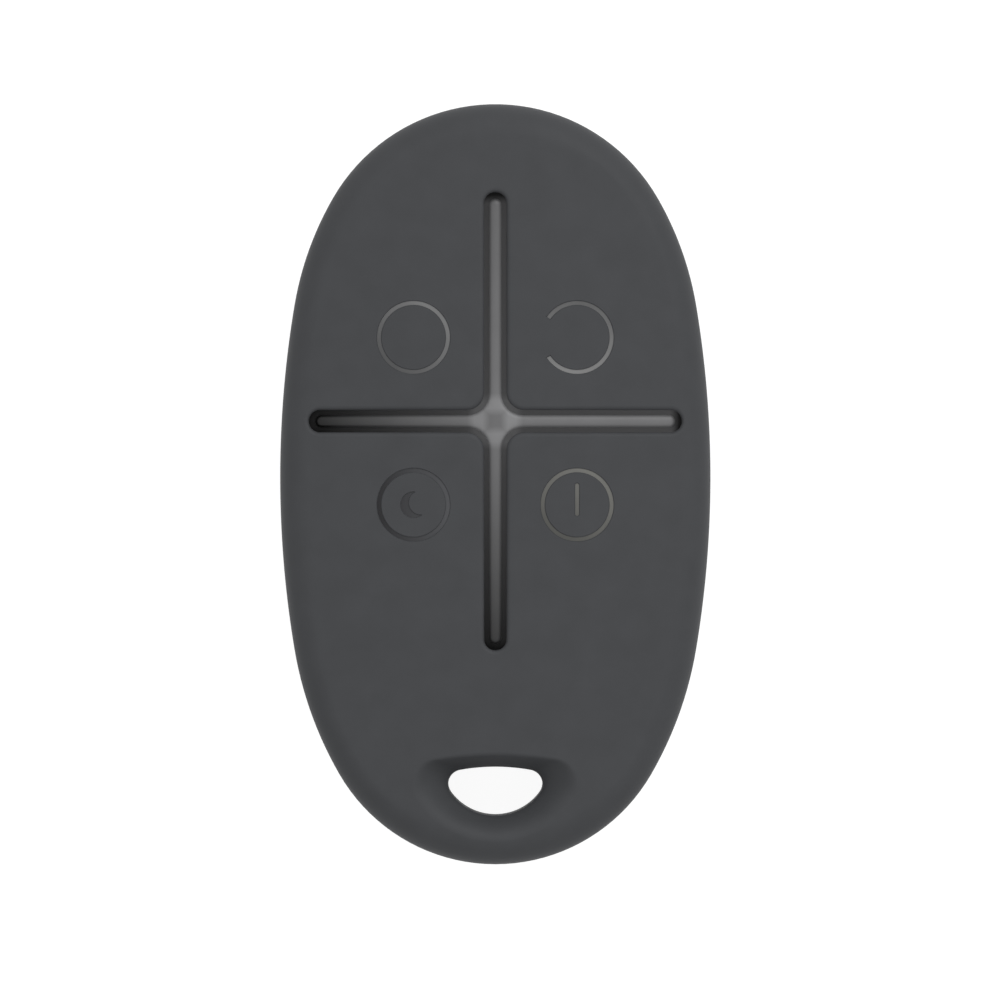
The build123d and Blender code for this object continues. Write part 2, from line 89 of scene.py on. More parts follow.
# The light guide that fills the slot
guide_half_width = 0.525
guide_end_gap = 0.55
guide_fillet = 1.8
guide_recess = 0.45
guide_rounding = 0.4
guide_flange_growth = 0.775
guide_flange_bottom = 6.05
guide_flange_top = 6.85
guide_foot_half = 0.8
guide_foot_from_end = 1.6
guide_peg_radius = 0.45
lamp_pocket_half_across = 1.12
lamp_pocket_half_along = 0.92
lamp_pocket_top = 6.52
overlap = 0.1
slot_sizes = (slot_half_across, slot_half_along, slot_half_width, slot_fillet)
guide_sizes = (slot_half_across - guide_end_gap, slot_half_along - guide_end_gap,
               guide_half_width, guide_fillet)

# What is under each press area
press_across = 6.97
press_along = 7.13
post_bottom = 7.65
post_radius = 0.85
stiffener_bottom = 7.84
stiffener_half_width = 0.35
stiffener_reach = 4.82

# The snap dome under each switch's stem
dome_length = 2.9
dome_width = 1.1
dome_flat_length = 0.8
dome_shoulder_length = 2.2
dome_shoulder_share = 0.7
dome_thickness = 0.08
dome_bottom = 6.2
dome_top = 6.73

# The eyelet
eyelet_y = -24.77
eyelet_half_width = 4.53
eyelet_upper_bow = 0.62
eyelet_lower_bow = 3.53
eyelet_corner = 1.23
eyelet_waist = 5.0
scoop_half_width = 7.33
scoop_rise = 0.89
scoop_upper_bow = 0.77
scoop_lower_bow = 5.93
scoop_corner = 1.77
scoop_upper_rounding = 0.3
scoop_lower_rounding = 0.7
scoop_rounding_change = 3.0
scoop_straight_share = 0.93
waist_turn_share = 0.3
scoop_edge_limit = 2 / 3
eyelet_block_growth = 0.8

# Screws, their counterbores and bosses
screw_places = [(0.0, 27.6), (0.0, -19.5)]
screw_radius = 0.8
screw_head_radius = 1.5
screw_head_sunk = 0.4
screw_seat = 1.4
screw_length = 5.0
screw_root_radius = 0.64
screw_thread_pitch = 0.45
screw_head_rounding = 0.25
screw_tip_taper = 0.35
recess_sizes = (0.85, 0.85, 0.19, 0.12)
recess_depth = 0.5
recess_taper = 0.05
counterbore_radius = 1.7
counterbore_chamfer = 0.08
back_hole_radius = 0.9
front_hole_radius = 0.84
front_hole_top = 6.9
back_boss_radius = 2.5
front_boss_radius = 1.9

# Ribs and cradle inside
rib_half_width = 0.6
rib_reach = 2.6
rib_ys = [cross_y + 8.6, cross_y - 14.2]
board_bottom = 5.0
board_top = 5.8
cell_y = 4.0
cradle_inner = 10.3
cradle_outer = 11.1
cradle_top = 3.3
cradle_notch_half = 3.1

# Icons: rings and marks moulded into the press areas
icon_radius = 2.94
icon_half_line = 0.23
groove_wall = 0.06
groove_depth = 0.1
groove_floor = groove_wall * 0.85
open_ring_half_gap = 33.0
bar_half_length = 1.45
bar_rise = 0.45
crescent_radius = 1.15
crescent_bite_radius = 1.0
crescent_bite_shift = (0.62, 0.18)

# How finely the surfaces are divided: distances, counts of steps, and angles of rows round an edge
outline_spacing = 0.85
least_arc_steps = 4
edge_rings = [0, 12, 24, 36, 48, 57]
edge_last = 66
edge_inset = edge_radius * (1 - math.cos(math.radians(edge_last)))
edge_inner_insets = [2.2, 2.65, 3.2]
slot_edge_angles = (0, 30, 50, 70, 90)
guide_edge_angles = (60, 40, 20, 0)
screw_edge_angles = (30, 60, 90)
slope_step = 0.2
slot_slope_step = slope_step / 10
grid_spacing = 1.35
grid_row_share = 0.87
grid_columns = 16
grid_clearance = 0.45
icon_clearance = 0.1
least_distance = 1e-5
blend_level = 0.04
sharp_angle = 35
guide_sharp_angle = 50
straight_spacing = 0.9
corner_count = 8
lens_counts = (26, 10, 36)
seam_count = 30
round_count = 32
post_count = 24
scoop_counts = (5, 4, 3)
guide_spacing = 1.0
peg_count = 20
cradle_count = 48
ring_count = 72
open_ring_count = 60
crescent_counts = (36, 24)
bar_spacing = 0.4


# ---- The body's outline and faces
def cos_sin(angle):
    """Cosine and sine of an angle in degrees."""
    turn = math.radians(angle)
    return math.cos(turn), math.sin(turn)


def distance_from(centre, points):
    """Distance of each point of the plan from a centre."""
    return np.hypot(*(points - centre).T)


def outline_arcs():
    """The outline's arcs, in their order round it: centre, radius, first and last direction in degrees."""
    flank_x = half_width - flank_radius
    cos_1, sin_1 = cos_sin(flank_angle)
    cos_2, sin_2 = cos_sin(shoulder_angle)
    arcs = [
        (flank_x, widest_above_middle, flank_radius, -flank_angle, flank_angle),
        (-flank_x, widest_above_middle, flank_radius, 180 - flank_angle, 180 + flank_angle),
    ]
    for end, start in ((1, 0), (-1, 180)):
        across = half_width - flank_radius * (1 - cos_1)
        along = half_length - end * widest_above_middle - flank_radius * sin_1
        spread = (cos_1 - cos_2) * (1 - sin_2) - cos_2 * (sin_2 - sin_1)
        shoulder = (across * (1 - sin_2) - cos_2 * along) / spread
        cap = ((cos_1 - cos_2) * along - (sin_2 - sin_1) * across) / spread
        x = flank_x + (flank_radius - shoulder) * cos_1
        y = widest_above_middle + end * (flank_radius - shoulder) * sin_1
        cap_y = y + end * (shoulder - cap) * sin_2
        turns = np.array([flank_angle, shoulder_angle]) * end
        arcs += [
            (x, y, shoulder, *sorted(turns)),
            (0, cap_y, cap, start + shoulder_angle, start + 180 - shoulder_angle),
            (-x, y, shoulder, *sorted(180 - turns)),
        ]
    return sorted(arcs, key=lambda arc: (arc[3] + flank_angle) % 360)


ARCS = outline_arcs()


def outline_parts():
    """Centre, radius and direction of every point round the outline."""
    centres, radii, ways = [], [], []
    for x, y, radius, first, last in ARCS:
        count = max(least_arc_steps, round(math.radians(last - first) * radius / outline_spacing))
        centres += [(x, y)] * count
        radii += [radius] * count
        ways += [cos_sin(first + (last - first) * step / count) for step in range(count)]
    return np.array(centres), np.array(radii), np.array(ways)


CENTRES, RADII, WAYS = outline_parts()


def outline_loop(inset):
    """The outline drawn in by inset, as points in the plan."""
    return CENTRES + (RADII - inset)[:, None] * WAYS


def inset_of(points):
    """How far each point of the plan lies inside the outline."""
    nearest = np.full(len(points), 1e6)
    for x, y, radius, first, last in ARCS:
        away = points - (x, y)
        turn = (np.degrees(np.arctan2(away[:, 1], away[:, 0])) - first) % 360
        inset = radius - distance_from((x, y), points)
        nearest = np.where(turn <= last - first, np.minimum(nearest, inset), nearest)
    return nearest


def crown_drop(points):
    """How far the crowned face lies under its middle."""
    across = crown_radius_across - np.sqrt(crown_radius_across**2 - points[:, 0] ** 2)
    along = crown_radius_along - np.sqrt(crown_radius_along**2 - points[:, 1] ** 2)
    return across + along


def front_middle():
    """The level about which the front's rounded edge turns, and how far the crown leans there."""
    radius = crown_radius_across - edge_radius
    lean = math.asin((half_width - edge_radius) / radius)
    return body_thickness - crown_radius_across + radius * math.cos(lean), lean


FRONT_MIDDLE, LEAN = front_middle()


def lesser(first, second):
    """The lower of two levels, with a soft change from one to the other."""
    near = np.maximum(blend_level - np.abs(first - second), 0) / blend_level
    return np.minimum(first, second) - near**2 * blend_level / 4


def front_level(points, depth):
    """The level of the front face at places in the plan, or of a surface at depth under it."""
    radius = edge_radius - depth
    inset = inset_of(points)
    knee_inset = edge_radius - radius * math.sin(LEAN)
    rise = np.sqrt(np.maximum(radius**2 - (edge_radius - np.minimum(inset, knee_inset)) ** 2, 0))
    rise = rise + np.maximum(inset - knee_inset, 0) * math.tan(LEAN)
    return lesser(FRONT_MIDDLE + rise, body_thickness - depth - crown_drop(points))


def back_level(points, depth):
    """The level of the back face at places in the plan, or of a surface at depth above it."""
    radius = edge_radius - depth
    inset = np.minimum(inset_of(points), edge_radius)
    return edge_radius - np.sqrt(np.maximum(radius**2 - (edge_radius - inset) ** 2, 0))


def gradient(height, points, step):
    """The slope of a height over the plan, across and along."""
    return [(height(points + move) - height(points - move)) / (2 * step) for move in ((step, 0), (0, step))]


def unit(vectors):
    return vectors / np.linalg.norm(vectors, axis=1)[:, None]


def face_normals(level, points):
    """Upward normals of the front or back face, from the slope of its level."""
    across, along = gradient(lambda places: level(places, 0.0), points, slope_step)
    return unit(np.column_stack([-across, -along, np.ones(len(points))]))


# ---- Loops in the plan
def arc_points(centre, radius, first, last, count, ends=False):
    """Points along an arc, in degrees. Its last point is left out unless ends is true."""
    angles = np.radians(np.linspace(first, last, count + 1))
    points = np.stack([centre[0] + radius * np.cos(angles), centre[1] + radius * np.sin(angles)], axis=1)
    return points if ends else points[:-1]


def circle(centre, radius, count):
    return arc_points(centre, radius, 0, 360, count)


def line_points(start, end, spacing):
    """Points from start up to, but without, end."""
    start, end = np.array(start, float), np.array(end, float)
    count = max(1, round(np.linalg.norm(end - start) / spacing))
    steps = np.arange(count)[:, None] / count
    return start + steps * (end - start)


def rectangle(half_x, half_y):
    return np.array([(-half_x, -half_y), (half_x, -half_y), (half_x, half_y), (-half_x, half_y)])


def loop_distance(points, loops):
    """Distance of each place to the nearest point of some loops."""
    line = np.concatenate(loops)
    return np.hypot(points[:, None, 0] - line[None, :, 0], points[:, None, 1] - line[None, :, 1]).min(axis=1)


def cross_loop(growth, sizes=slot_sizes, centre=(0, cross_y)):
    """A cross's edge, the slot's unless other sizes are given, grown on every side, as a closed loop."""
    half_across, half_along, half_width, fillet = sizes
    half = half_width + growth
    corner = half_width + fillet
    fillet = fillet - growth
    along, across = half_along - half_width, half_across - half_width
    quarter = np.concatenate([
        arc_points((across, 0), half, 0, 90, corner_count),
        line_points((across, half), (corner, half), straight_spacing),
        arc_points((corner, corner), fillet, 270, 180, corner_count),
        line_points((half, corner), (half, along), straight_spacing),
        arc_points((0, along), half, 0, 90, corner_count, ends=True),
    ])
    upper = np.concatenate([quarter, (quarter[::-1] * (-1, 1))[1:]])
    lower = (upper[::-1] * (1, -1))[1:-1]
    return np.concatenate([upper, lower]) + centre


def cross_distance(points):
    """Distance outside the slot's edge, negative in the slot."""
    x, y = np.abs(points[:, 0]), np.abs(points[:, 1] - cross_y)
    across = np.hypot(x - np.minimum(x, arm_across), y) - slot_half_width
    along = np.hypot(x, y - np.minimum(y, arm_along)) - slot_half_width
    corner = slot_half_width + slot_fillet
    fillet = slot_fillet - np.hypot(x - corner, y - corner)
    distance = np.minimum(across, along)
    return np.where((x < corner) & (y < corner), np.minimum(distance, fillet), distance)


def lens_loop(half_chord, chord_y, upper_bow, lower_bow, corner):
    """Two arcs over one chord with rounded corners: up and over, then back along the bottom."""
    upper_radius = (half_chord**2 + upper_bow**2) / (2 * upper_bow)
    lower_radius = (half_chord**2 + lower_bow**2) / (2 * lower_bow)
    upper_y = chord_y + upper_bow - upper_radius
    lower_y = chord_y - lower_bow + lower_radius
    to_upper, to_lower = upper_radius - corner, lower_radius - corner
    y = (to_lower**2 - to_upper**2 + upper_y**2 - lower_y**2) / (2 * (upper_y - lower_y))
    x = math.sqrt(to_upper**2 - (y - upper_y) ** 2)
    high = math.degrees(math.atan2(y - upper_y, x))
    low = math.degrees(math.atan2(y - lower_y, x))
    return np.concatenate([
        arc_points((0, upper_y), upper_radius, 180 - high, high, lens_counts[0]),
        arc_points((x, y), corner, high, low, lens_counts[1]),
        arc_points((0, lower_y), lower_radius, low, -180 - low, lens_counts[2]),
        arc_points((-x, y), corner, -180 - low, -180 - high, lens_counts[1]),
    ])


def mouth_loop(growth):
    """The scoop's edge on the face, grown on every side."""
    return lens_loop(scoop_half_width + growth, eyelet_y + scoop_rise, scoop_upper_bow + growth,
                     scoop_lower_bow + growth, scoop_corner + growth)


def mouth_edge():
    """Where the mouth's rounded edge meets the outer face: its lower side is rounded more."""
    upper, lower = mouth_loop(scoop_upper_rounding), mouth_loop(scoop_lower_rounding)
    share = np.clip((eyelet_y + scoop_rise - upper[:, 1:]) / scoop_rounding_change, 0, 1)
    return upper + (lower - upper) * share**2 * (3 - 2 * share)


def hole_loop():
    return lens_loop(eyelet_half_width, eyelet_y, eyelet_upper_bow, eyelet_lower_bow, eyelet_corner)


def seam_circle(side, end):
    """Centre and radius of a press area's seam, and the directions of its two ends."""
    chord = math.hypot(arm_along, arm_across)
    away = np.array([side * arm_along, end * arm_across]) / chord
    radius = (chord**2 / 4 + seam_bulge**2) / (2 * seam_bulge)
    outermost = np.array([side * arm_across / 2, cross_y + end * arm_along / 2]) + seam_bulge * away
    centre = outermost - radius * away
    turn = math.degrees(math.atan2(away[1], away[0]))
    half = math.degrees(math.asin(chord / 2 / radius))
    return centre, radius, turn - half, turn + half


def seam_bend(side, end):
    """From the line through a seam's two ends inwards: where its press area bends as it is pressed."""
    start = np.array([side * arm_across, end * arm_along]) / 2
    inwards = -np.array([side * arm_along, end * arm_across]) / math.hypot(arm_along, arm_across)
    return [(x * MM, (y + cross_y) * MM, body_thickness * MM) for x, y in (start, start + bend_width * inwards)]


def seam_offset(points, side, end):
    """How far each place lies outside the circle of a press area's seam, negative inside it."""
    centre, radius, _, _ = seam_circle(side, end)
    return distance_from(centre, points) - radius


def in_press_area(points, side, end):
    in_quadrant = (points[:, 0] * side > 0) & ((points[:, 1] - cross_y) * end > 0)
    return in_quadrant & (seam_offset(points, side, end) < 0)


# ---- Icons
def ring_inside(points):
    """How deep a point lies inside the ring's line, negative outside it."""
    return icon_half_line - np.abs(distance_from((0, 0), points) - icon_radius)


def ring_loops(inset):
    half = icon_half_line - inset
    return [circle((0, 0), radius, ring_count) for radius in (icon_radius + half, icon_radius - half)]


def open_ring_inside(points):
    angle = np.degrees(np.arctan2(points[:, 1], -points[:, 0]))
    gap = np.radians(np.abs(angle) - open_ring_half_gap) * distance_from((0, 0), points)
    return np.minimum(ring_inside(points), gap)


def open_ring_loops(inset):
    half = icon_half_line - inset
    loop = []
    for radius, way in ((icon_radius + half, 1), (icon_radius - half, -1)):
        reach = way * (180 - open_ring_half_gap - math.degrees(inset / radius))
        loop.append(arc_points((0, 0), radius, reach, -reach, open_ring_count, ends=True))
    return [np.concatenate(loop)]


def bar_inside(points):
    beyond = np.abs(points[:, 1] - bar_rise) - (bar_half_length - icon_half_line)
    return icon_half_line - np.hypot(points[:, 0], np.maximum(beyond, 0))


def bar_loops(inset):
    half = icon_half_line - inset
    reach = bar_half_length - icon_half_line
    return [np.concatenate([
        line_points((half, bar_rise - reach), (half, bar_rise + reach), bar_spacing),
        arc_points((0, bar_rise + reach), half, 0, 180, corner_count),
        line_points((-half, bar_rise + reach), (-half, bar_rise - reach), bar_spacing),
        arc_points((0, bar_rise - reach), half, 180, 360, corner_count),
    ])]


def crescent_inside(points):
    bite = distance_from(crescent_bite_shift, points) - crescent_bite_radius
    return np.minimum(crescent_radius - distance_from((0, 0), points), bite)


def crescent_loops(inset):
    outer, bite = crescent_radius - inset, crescent_bite_radius + inset
    across, along = crescent_bite_shift
    length, turn = math.hypot(across, along), math.degrees(math.atan2(along, across))
    half_outer, half_bite = [
        math.degrees(math.acos((length**2 + near**2 - far**2) / (2 * length * near)))
        for near, far in ((outer, bite), (bite, outer))]
    return [np.concatenate([
        arc_points((0, 0), outer, turn + half_outer, turn + 360 - half_outer, crescent_counts[0]),
        arc_points(crescent_bite_shift, bite, turn + 180 + half_bite, turn + 180 - half_bite,
                   crescent_counts[1]),
    ])]


ICONS = {
    "arm": [(ring_inside, ring_loops)],
    "disarm": [(open_ring_inside, open_ring_loops)],
    "night": [(ring_inside, ring_loops), (crescent_inside, crescent_loops)],
    "panic": [(ring_inside, ring_loops), (bar_inside, bar_loops)],
}


def icon_centre(name):
    side, end = quadrants[name]
    return np.array([side * press_across, cross_y + end * press_along])


def icon_inside(points, name):
    """How deep points lie inside the icon's lines."""
    local = points - icon_centre(name)
    return np.max([inside(local) for inside, _ in ICONS[name]], axis=0)


# ---- Dividing the plan
def grid_points(keep_away):
    """Places in rows inside the rounded edge, where keep_away is more than the clearance."""
    places = []
    for row in range(round(body_length / (grid_spacing * grid_row_share)) + 1):
        y = -half_length + row * grid_spacing * grid_row_share
        shift = grid_spacing / 2 * (row % 2)
        places += [(column * grid_spacing + shift, y) for column in range(-grid_columns, grid_columns + 1)]
    points = np.array(places)
    points = points[inset_of(points) > edge_inner_insets[-1] + grid_clearance]
    return points[keep_away(points) > grid_clearance]


def divide(loops, chains, spare):
    """Triangles over the plan that follow every loop and chain. Gives the places, the triangles,
    the middle of each triangle's region and the places of each loop."""
    places, edges, starts = [], [], []
    for line in loops + chains:
        start, count = len(places), len(line)
        starts.append(start)
        closed = len(starts) <= len(loops)
        edges += [(start + i, start + (i + 1) % count) for i in range(count if closed else count - 1)]
        places += [Vector(p) for p in line]
    places += [Vector(p) for p in spare]
    points, out_edges, triangles, came_from, edge_from, _ = delaunay_2d_cdt(
        places, edges, [], 0, least_distance)
    fixed = {tuple(sorted(e)) for e, source in zip(out_edges, edge_from) if source}
    now = {source: index for index, sources in enumerate(came_from) for source in sources}

    def sides(triangle):
        return [tuple(sorted((triangle[i], triangle[i - 1]))) for i in range(3)]

    beside = {}
    for number, triangle in enumerate(triangles):
        for side in sides(triangle):
            beside.setdefault(side, []).append(number)
    region = [-1] * len(triangles)
    for first in range(len(triangles)):
        waiting = [first] if region[first] < 0 else []
        while waiting:
            number = waiting.pop()
            region[number] = first
            for side in sides(triangles[number]):
                if side not in fixed:
                    waiting += [other for other in beside[side] if region[other] < 0]
    found = [[now[start + i] for i in range(len(loop))] for start, loop in zip(starts, loops)]
    points, triangles = np.array([tuple(p) for p in points]), np.array(triangles)
    return points, triangles, region_middles(points, triangles, region), found


def region_middles(places, triangles, region):
    """For each triangle, the middle of the largest triangle of its region."""
    corners = places[triangles]
    first, second = corners[:, 1] - corners[:, 0], corners[:, 2] - corners[:, 0]
    area = np.abs(first[:, 0] * second[:, 1] - first[:, 1] * second[:, 0])
    best = {}
    for number, key in enumerate(region):
        if area[number] > area[best.setdefault(key, number)]:
            best[key] = number
    return corners.mean(axis=1)[[best[key] for key in region]]


# ---- Pieces
def add_object(name, data):
    result = bpy.data.objects.new(name, data)
    bpy.context.scene.collection.objects.link(result)
    return result


class Piece:
    """Collects points and faces of one mesh. A face's normals may be given at its points."""

    def __init__(self):
        self.points, self.faces, self.marks, self.given = [], [], [], []
        self.normals = {}

    def add(self, points, normals=None):
        start = len(self.points)
        self.points += [tuple(p) for p in points]
        if normals is not None:
            for offset, normal in enumerate(normals):
                self.normals[start + offset] = normal
        return list(range(start, start + len(points)))

    def face(self, corners, mark=0, given=False):
        self.faces.append(tuple(corners))
        self.marks.append(mark)
        self.given.append(given)

    def band(self, first, second, given=False):
        """Faces between two closed rows of as many points."""
        count = len(first)
        for i in range(count):
            j = (i + 1) % count
            self.face((first[i], first[j], second[j], second[i]), given=given)

    def skin(self, start, rows):
        """Bands from a row of the piece through rows of new points. Gives the last row."""
        for points in rows:
            row = self.add(points)
            self.band(start, row)
            start = row
        return start

    def block(self, loop, bottom, top):
        """A closed prism of a convex loop."""
        low, high = self.add(at_level(loop, bottom)), self.add(at_level(loop, top))
        self.band(low, high)
        self.face(low[::-1])
        self.face(high)

    def arc_block(self, centre, inner, outer, first, last, count, bottom, top):
        """A closed prism of part of a ring."""
        near, far = [arc_points(centre, radius, first, last, count, ends=True) for radius in (inner, outer)]
        rows = [self.add(at_level(loop, level)) for loop, level in
                ((near, bottom), (far, bottom), (far, top), (near, top))]
        for i in range(count):
            for a in range(4):
                b = (a + 1) % 4
                self.face((rows[a][i], rows[a][i + 1], rows[b][i + 1], rows[b][i]))
        self.face([row[0] for row in rows])
        self.face([row[-1] for row in reversed(rows)])

    def make(self, name, body, slot, materials, replaced=(), sharp=sharp_angle, bend=None):
        mesh = bpy.data.meshes.new(name)
        mesh.from_pydata([tuple(c * MM for c in p) for p in self.points], [], self.faces)
        work = bmesh.new()
        work.from_mesh(mesh)
        bmesh.ops.recalc_face_normals(work, faces=work.faces)
        work.to_mesh(mesh)
        work.free()
        for material in materials:
            mesh.materials.append(material)
        mesh.polygons.foreach_set("material_index", self.marks)
        mesh.polygons.foreach_set("use_smooth", [True] * len(mesh.polygons))
        mesh.set_sharp_from_angle(angle=math.radians(sharp))
        if self.normals:
            normals = [tuple(corner.vector) for corner in mesh.corner_normals]
            for polygon, given in zip(mesh.polygons, self.given):
                for corner in polygon.loop_indices if given else ():
                    vertex = mesh.loops[corner].vertex_index
                    if vertex in self.normals:
                        normals[corner] = tuple(self.normals[vertex])
            mesh.normals_split_custom_set(normals)
        piece = add_object(name, mesh)
        if bend:
            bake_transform(piece)
        else:
            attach(piece, body)
        if replaced:
            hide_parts(*replaced)
        return piece


def at_level(loop, level):
    """Points of the plan raised to one level, or each to its own."""
    return np.column_stack([loop, np.broadcast_to(level, len(loop))])


def boundary(triangles):
    """Edges that only one triangle has, in that triangle's direction."""
    seen = {}
    for triangle in triangles:
        for i in range(3):
            a, b = triangle[i - 1], triangle[i]
            key = (min(a, b), max(a, b))
            seen[key] = None if key in seen else (a, b)
    return {key: edge for key, edge in seen.items() if edge}


def two_faces(piece, places, outer, inner, outer_levels, inner_levels, normals, marks, given):
    """Outer and inner faces over the plan, joined by walls along the edges that both have.
    Gives a function for either face, which finds a loop's points in the piece."""
    used_outer, used_inner = np.unique(outer), np.unique(inner)
    top = dict(zip(used_outer, piece.add(
        at_level(places[used_outer], outer_levels[used_outer]), normals[used_outer])))
    under = dict(zip(used_inner, piece.add(at_level(places[used_inner], inner_levels[used_inner]))))
    for triangle, mark, smooth in zip(outer, marks, given):
        piece.face([top[p] for p in triangle], mark, smooth)
    for triangle in inner:
        piece.face([under[p] for p in reversed(triangle)])
    inner_edges = boundary(inner)
    for key, (a, b) in boundary(outer).items():
        if key in inner_edges:
            piece.face((top[b], top[a], under[a], under[b]))
    return lambda loop: [top[p] for p in loop], lambda loop: [under[p] for p in loop]


def round_rows(centre, profile):
    """Rows round a screw's axis, from radii and levels."""
    return [at_level(circle(centre, radius, round_count), level) for radius, level in profile]


def screw_distance(points):
    return np.min([distance_from(place, points) for place in screw_places], axis=0)


def curve(first, middle, last, share):
    """Points at a share of the bows that run from first to last and lean towards middle."""
    return (1 - share) ** 2 * first + 2 * share * (1 - share) * middle + share**2 * last


def add_scoop(piece, start, face_level, waist, under):
    """The scoop from the mouth's row, over its rounded edge, down to the hole, and back to the inner face."""
    edge, mouth, hole = mouth_edge(), mouth_loop(0.0), hole_loop()
    first, middle = at_level(edge, face_level(edge, 0.0)), at_level(mouth, face_level(mouth, 0.0))
    low = at_level(hole, waist)
    length = np.linalg.norm(low - middle, axis=1)[:, None]
    rounding = np.linalg.norm(edge - mouth, axis=1)[:, None]
    last = middle + (low - middle) * np.minimum(2 * rounding / length, scoop_edge_limit)
    turn = last + scoop_straight_share * (low - last)
    straight = at_level(hole, waist + (parting_height - waist) * waist_turn_share)
    edge_shares, wall_shares, turn_shares = [
        [step / count for step in range(1, count + 1)] for count in scoop_counts]
    rows = [curve(first, middle, last, share) for share in edge_shares]
    rows += [last + share * scoop_straight_share * (low - last) for share in wall_shares]
    rows += [curve(turn, low, straight, share) for share in turn_shares]
    rows += [at_level(loop, parting_height) for loop in (hole, mouth_loop(eyelet_block_growth))]
    piece.band(piece.skin(start, rows), under)


def rib_loops():
    """The plans of the ribs that hold the board, from the wall inwards."""
    loops = []
    for y in rib_ys:
        for side in (-1, 1):
            ends = []
            for inset in (root_depth, shell_wall + rib_reach):
                right = outline_loop(inset)
                right = right[right[:, 0] > 0]
                right = right[np.argsort(right[:, 1])]
                for edge in (-rib_half_width, rib_half_width):
                    ends.append((side * np.interp(y + edge, right[:, 1], right[:, 0]), y + edge))
            loops.append(np.array([ends[0], ends[1], ends[3], ends[2]]))
    return loops


# ---- The front face
def front_parts():
    """The front shell, the four press areas and the posts under them, from one divided plan."""
    mouth, block = mouth_edge(), mouth_loop(eyelet_block_growth)
    bosses = [circle(place, front_boss_radius, round_count) for place in screw_places]
    slot_edges = [cross_loop(slot_rounding * (1 - math.cos(math.radians(a)))) for a in slot_edge_angles]
    loops = [outline_loop(edge_inset), *slot_edges, mouth, block, *bosses]
    mouth_index = 1 + len(slot_edges)
    for name in quadrants:
        for inset in (0.0, groove_wall):
            loops += [loop + icon_centre(name) for _, make_loops in ICONS[name] for loop in make_loops(inset)]
    loops += [outline_loop(inset) for inset in edge_inner_insets]
    chains = []
    for quadrant in quadrants.values():
        centre, radius, first, last = seam_circle(*quadrant)
        chains += [arc_points(centre, radius + offset, first, last, seam_count, ends=True)
                   for offset in web_offsets]

    def clearance(points):
        away = np.abs(cross_distance(points) - slot_rounding / 2)
        for name, quadrant in quadrants.items():
            to_seam = np.abs(seam_offset(points, *quadrant))
            away = np.min([away] + [np.abs(to_seam - offset) for offset in web_offsets[2:]], axis=0)
            away = np.minimum(away, np.abs(icon_inside(points, name)) + icon_clearance)
        return np.minimum(away, loop_distance(points, [mouth, block, *bosses]))

    places, triangles, middles, found = divide(loops, chains, grid_points(clearance))

    # Levels and normals of the face, with the slot's rounded edge and the icons' grooves
    near = np.clip(cross_distance(places), 0, slot_rounding)
    levels = front_level(places, 0.0) - slot_rounding + np.sqrt(slot_rounding**2 - (slot_rounding - near) ** 2)
    away_x, away_y = gradient(cross_distance, places, slot_slope_step)
    cosine = 1 - near / slot_rounding
    sine = np.sqrt(np.maximum(1 - cosine**2, 0))
    to_slot = np.column_stack([-away_x, -away_y, 0 * away_x])
    normals = unit(sine[:, None] * face_normals(front_level, places) + cosine[:, None] * to_slot)
    inside = np.max([icon_inside(places, name) for name in quadrants], axis=0)
    levels = levels - groove_depth * np.clip(inside / groove_wall, 0, 1)

    # Depth of the inner face: thin under the seams
    to_seam = np.min([np.abs(seam_offset(places, *quadrant)) for quadrant in quadrants.values()], axis=0)
    share = np.round(np.clip((to_seam - web_half_width) / web_slope, 0, 1))
    thin, thick = front_level(places, web_thickness), front_level(places, shell_wall)
    inner_levels = thin + (thick - thin) * share

    # The icons' floors carry the icons' paint with painted light and shade, and their walls keep flat shading
    groove = np.max([icon_inside(places[triangles].mean(axis=1), name) for name in quadrants], axis=0)
    marks = np.where(groove > groove_floor, 1, 0)
    smooth = (groove <= 0) | (groove > groove_floor)

    # The shell
    open_slot = cross_distance(middles) < 0
    in_area = {name: in_press_area(middles, *quadrant) & ~open_slot for name, quadrant in quadrants.items()}
    keep = ~open_slot & ~np.any(list(in_area.values()), axis=0)
    outer = keep & ~point_in_loop(middles, mouth)
    inner = keep & ~point_in_loop(middles, block) & (screw_distance(middles) >= front_boss_radius)
    shell = Piece()
    top, under = two_faces(shell, places, triangles[outer], triangles[inner], levels, inner_levels,
                           normals, marks[outer], smooth[outer])
    add_rim(shell, top(found[0]), under(found[0]), FRONT_MIDDLE, 1,
            lip_inset, parting_height + lip_height + lip_clearance)
    mouth_places, block_places, *boss_places = found[mouth_index:mouth_index + 2 + len(bosses)]
    add_scoop(shell, top(mouth_places), front_level, parting_height + eyelet_waist / 2, under(block_places))
    for place, boss in zip(screw_places, boss_places):
        shell.face(shell.skin(under(boss), round_rows(place, [
            (front_boss_radius, parting_height),
            (front_hole_radius, parting_height),
            (front_hole_radius, front_hole_top),
        ])))
    for loop in rib_loops():
        shell.block(loop, board_top, front_level(loop, root_depth))

    # The press areas, and the post and stiffeners under each
    areas, posts = {}, {}
    for name, chosen in in_area.items():
        areas[name], posts[name] = Piece(), Piece()
        two_faces(areas[name], places, triangles[chosen], triangles[chosen], levels, inner_levels,
                  normals, marks[chosen], smooth[chosen])
        centre = icon_centre(name)
        roof = body_thickness - shell_wall / 2 - crown_drop(centre[None])[0]
        posts[name].block(circle(centre, post_radius, post_count), post_bottom, roof)
        for half_sizes in ((stiffener_reach, stiffener_half_width), (stiffener_half_width, stiffener_reach)):
            loop = centre + rectangle(*half_sizes)
            posts[name].block(loop, stiffener_bottom, front_level(loop, shell_wall / 2))
    return shell, areas, posts


